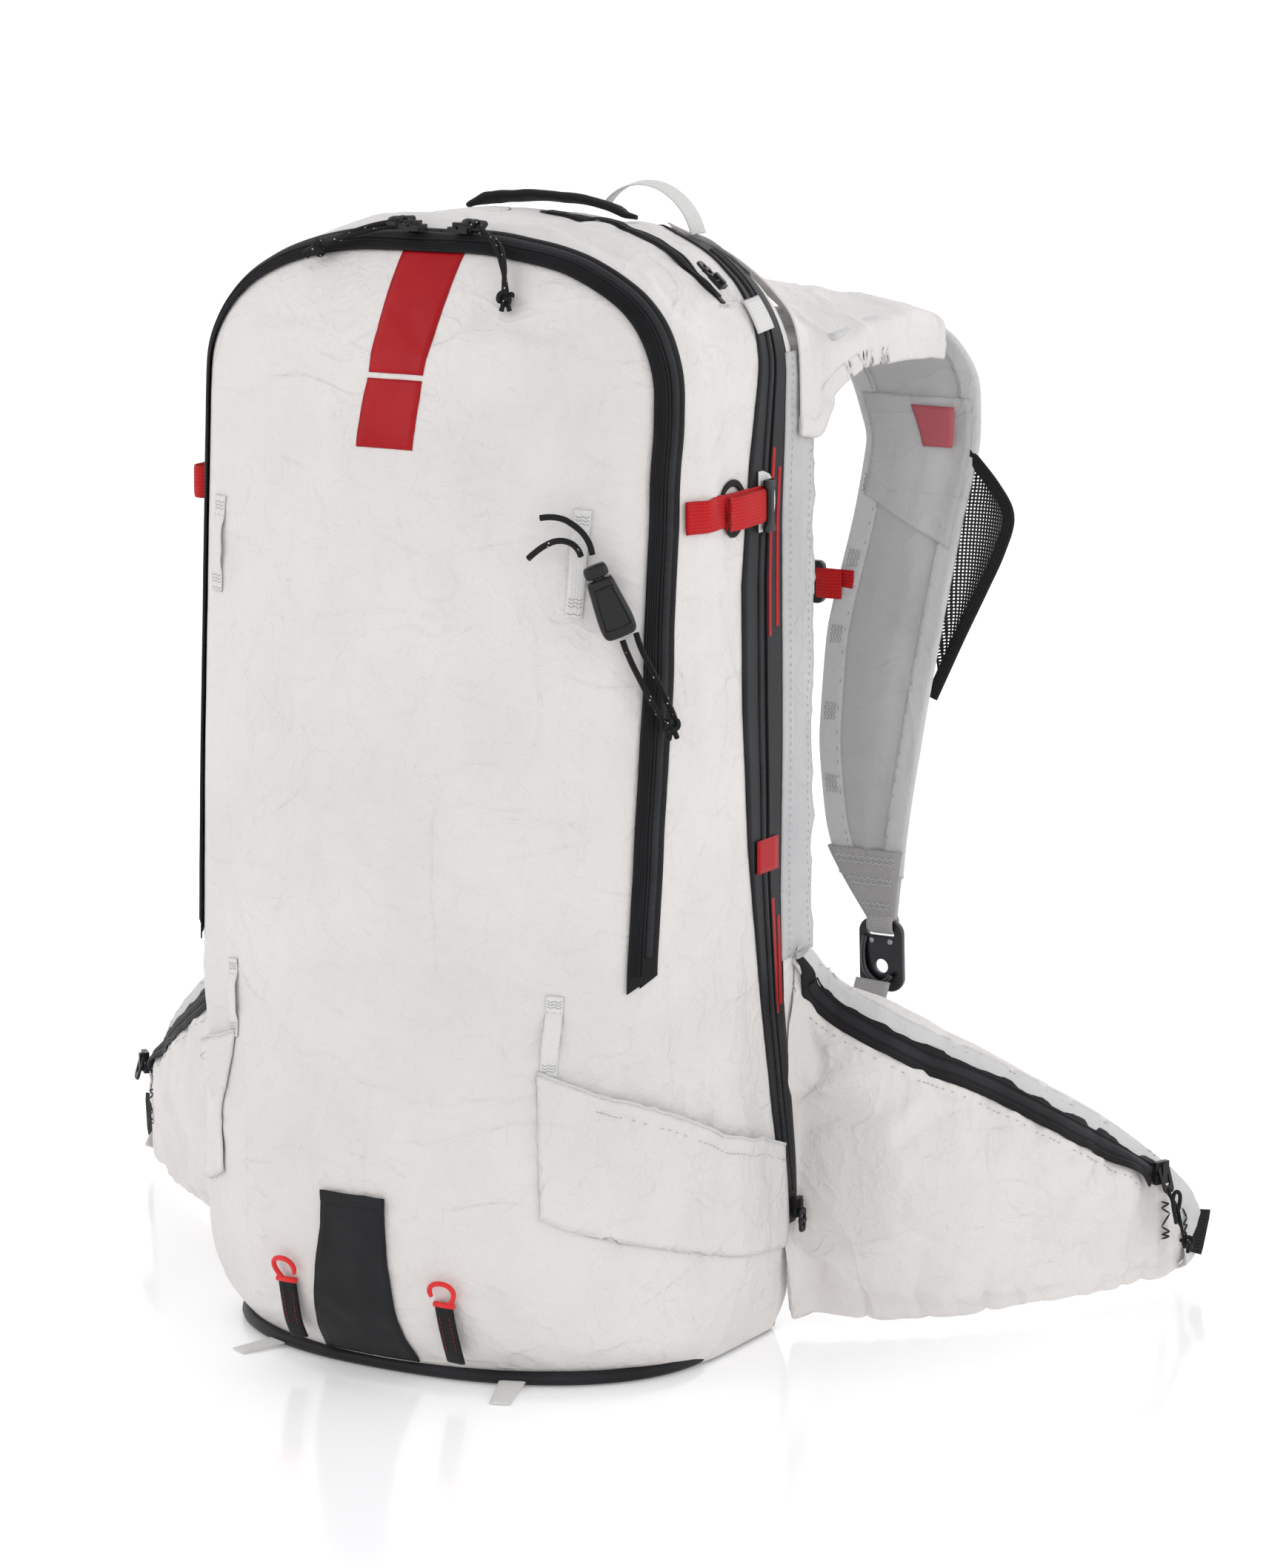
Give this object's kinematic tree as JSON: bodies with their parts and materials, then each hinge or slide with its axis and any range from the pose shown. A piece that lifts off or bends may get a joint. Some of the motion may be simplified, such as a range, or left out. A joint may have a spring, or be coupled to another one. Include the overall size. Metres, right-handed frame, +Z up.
{
  "type": "avalanche airbag backpack",
  "caption": "Free-standing ski pack with an arched front flap, side airbag zips, hinged hip wings, lifting shoulder straps and a pull-handle gas trigger.",
  "frame": {"origin": "centre of the base, on the surface the pack stands on", "axes": "+Z up, -Y out of the front flap, +Y towards the wearer's back, +X to the wearer's right"},
  "size_m": [0.6444, 0.3992, 0.5799],
  "materials": {
    "shell_fabric": "coated, slight sheen",
    "sheer_fabric": "translucent laminate",
    "coated_black": "coated black",
    "zip_black": "matte",
    "slider_metal": "satin black",
    "cord_black": "braided with pale flecks",
    "black_plastic": "gloss",
    "red_webbing": "woven",
    "black_webbing": "woven",
    "red_plastic": "satin",
    "airbag_fabric": "ripstop nylon",
    "alloy": "satin",
    "steel": "satin",
    "rubber_hose": "matte",
    "frame_plastic": "matte"
  },
  "bodies": {
    "root": {"bag_body": "shell_fabric", "base_reinforcement": "coated_black", "back_panel": "sheer_fabric", "frame_sheet": "frame_plastic", "frame_stays": "alloy", "main_zip_bag_tape": "zip_black", "airbag_zip_left": "coated_black", "airbag_zip_right": "coated_black", "folded_airbags": "airbag_fabric", "venturi_left": "alloy", "venturi_right": "alloy", "gas_hoses": "rubber_hose", "valve_block": "alloy", "trigger_cable": "black_webbing", "compression_straps": "red_webbing", "pocket_zip": "zip_black", "grab_handle": "black_webbing", "axe_sleeve": "coated_black", "tool_loops": "shell_fabric", "yoke_panel": "sheer_fabric", "lower_straps": "black_webbing"},
    "flap": {"front_flap": "shell_fabric", "main_zip_flap_tape": "zip_black", "shaft_loops": "shell_fabric", "cord_lock": "black_plastic", "elastic_tail_upper": "cord_black", "elastic_tail_lower": "cord_black", "elastic_leg_front": "cord_black", "elastic_leg_back": "cord_black"},
    "lock_button": {"cord_lock_button": "black_plastic"},
    "main_slider_left": {"main_slider_left": "slider_metal", "pull_cord_left": "cord_black"},
    "main_slider_right": {"main_slider_right": "slider_metal", "pull_cord_right": "cord_black"},
    "wing_left": {"hip_wing_left": "shell_fabric", "wing_zip_left": "zip_black", "hip_buckle_left": "black_plastic"},
    "wing_right": {"hip_wing_right": "shell_fabric", "wing_zip_right": "zip_black", "hip_buckle_right": "black_plastic"},
    "wing_slider_left": {"wing_slider_left": "slider_metal"},
    "wing_slider_right": {"wing_slider_right": "slider_metal", "pull_cord_wing": "cord_black"},
    "strap_left": {"shoulder_strap_left": "sheer_fabric", "chest_strap_left": "red_webbing"},
    "strap_right": {"shoulder_strap_right": "sheer_fabric", "chest_strap_right": "red_webbing"},
    "strap_hook_left": {"strap_hook_left": "alloy"},
    "strap_hook_right": {"strap_hook_right": "alloy"},
    "trigger_handle": {"trigger_handle": "red_plastic"},
    "firing_lever": {"firing_lever": "steel"},
    "gas_cartridge": {"gas_cartridge": "steel"},
    "haul_loop": {"haul_loop": "shell_fabric"},
    "axe_loop_left": {"axe_loop_left": "black_webbing"},
    "axe_loop_right": {"axe_loop_right": "black_webbing"},
    "compression_hook_left": {"compression_hook_left": "black_plastic"},
    "compression_hook_right": {"compression_hook_right": "black_plastic"},
    "pocket_slider": {"pocket_slider": "slider_metal"},
    "airbag_slider_left": {"airbag_slider_left": "slider_metal"},
    "airbag_slider_right": {"airbag_slider_right": "slider_metal"}
  },
  "joints": [
    {"name": "flap_fold", "type": "hinge", "parent": "root", "child": "flap", "pos_m": [0, -0.106, 0.196], "axis": [1, 0, 0], "range_deg": [0, 95]},
    {"name": "lock_press", "type": "slide", "parent": "flap", "child": "lock_button", "axis": [-0.3106, -0.2095, 0.9272], "range_m": [-0.003, 0], "stiffness_N_per_m": 400},
    {"name": "main_slide_left", "type": "slide", "parent": "flap", "child": "main_slider_left", "axis": [-1, 0, 0], "range_m": [0, 0.03]},
    {"name": "main_slide_right", "type": "slide", "parent": "flap", "child": "main_slider_right", "axis": [1, 0, 0], "range_m": [0, 0.03]},
    {"name": "wing_turn_left", "type": "hinge", "parent": "root", "child": "wing_left", "pos_m": [-0.143, 0.094, 0], "axis": [0, 0, -1], "range_deg": [-6, 49]},
    {"name": "wing_turn_right", "type": "hinge", "parent": "root", "child": "wing_right", "pos_m": [0.143, 0.094, 0], "axis": [0, 0, 1], "range_deg": [-30, 35]},
    {"name": "strap_lift_left", "type": "hinge", "parent": "root", "child": "strap_left", "pos_m": [0, 0.11, 0.506], "axis": [1, 0, 0], "range_deg": [0, 50]},
    {"name": "strap_lift_right", "type": "hinge", "parent": "root", "child": "strap_right", "pos_m": [0, 0.11, 0.506], "axis": [1, 0, 0], "range_deg": [0, 50]},
    {"name": "hook_turn_left", "type": "hinge", "parent": "strap_left", "child": "strap_hook_left", "pos_m": [-0.119, 0.1995, 0.2], "axis": [1, 0, 0], "range_deg": [0, 60]},
    {"name": "hook_turn_right", "type": "hinge", "parent": "strap_right", "child": "strap_hook_right", "pos_m": [0.119, 0.1995, 0.2], "axis": [1, 0, 0], "range_deg": [0, 60]},
    {"name": "trigger_pull", "type": "slide", "parent": "strap_left", "child": "trigger_handle", "axis": [0, 1, 0], "range_m": [0, 0.03]},
    {"name": "lever_turn", "type": "hinge", "parent": "root", "child": "firing_lever", "pos_m": [-0.062, 0.055, 0.489], "axis": [1, 0, 0], "range_deg": [0, 45]},
    {"name": "cartridge_turn", "type": "hinge", "parent": "root", "child": "gas_cartridge", "pos_m": [-0.062, 0.055, 0.446], "axis": [0, 0, 1], "range_deg": [0, 350]},
    {"name": "haul_turn", "type": "hinge", "parent": "root", "child": "haul_loop", "pos_m": [0.056, 0.081, 0.5635], "axis": [0.9703, 0, -0.2419], "range_deg": [-25, 25]},
    {"name": "axe_turn_left", "type": "hinge", "parent": "root", "child": "axe_loop_left", "pos_m": [-0.046, -0.093, 0.014], "axis": [1, 0, 0], "range_deg": [0, 90]},
    {"name": "axe_turn_right", "type": "hinge", "parent": "root", "child": "axe_loop_right", "pos_m": [0.046, -0.093, 0.014], "axis": [1, 0, 0], "range_deg": [0, 90]},
    {"name": "hook_swing_left", "type": "hinge", "parent": "root", "child": "compression_hook_left", "pos_m": [-0.1423, 0.05, 0.428], "axis": [0, 0, -1], "range_deg": [0, 50]},
    {"name": "hook_swing_right", "type": "hinge", "parent": "root", "child": "compression_hook_right", "pos_m": [0.1423, 0.05, 0.428], "axis": [0, 0, 1], "range_deg": [0, 50]},
    {"name": "pocket_slide", "type": "slide", "parent": "root", "child": "pocket_slider", "axis": [-0.7431, 0, 0.6691], "range_m": [0, 0.012]},
    {"name": "airbag_slide_left", "type": "slide", "parent": "root", "child": "airbag_slider_left", "axis": [0, -0.0996, 0.995], "range_m": [0, 0.04]},
    {"name": "airbag_slide_right", "type": "slide", "parent": "root", "child": "airbag_slider_right", "axis": [0, -0.0996, 0.995], "range_m": [0, 0.04]},
    {"name": "wing_slide_right", "type": "slide", "parent": "wing_right", "child": "wing_slider_right", "axis": [-0.2681, -0.8063, 0.5272], "range_m": [0, 0.02]},
    {"name": "wing_slide_left", "type": "slide", "parent": "wing_left", "child": "wing_slider_left", "axis": [0.5729, -0.6276, 0.5272], "range_m": [0, 0.02]}
  ],
  "couplings": [
    {"joint": "lever_turn", "follows": "trigger_pull", "rad_per_m": 26}
  ]
}
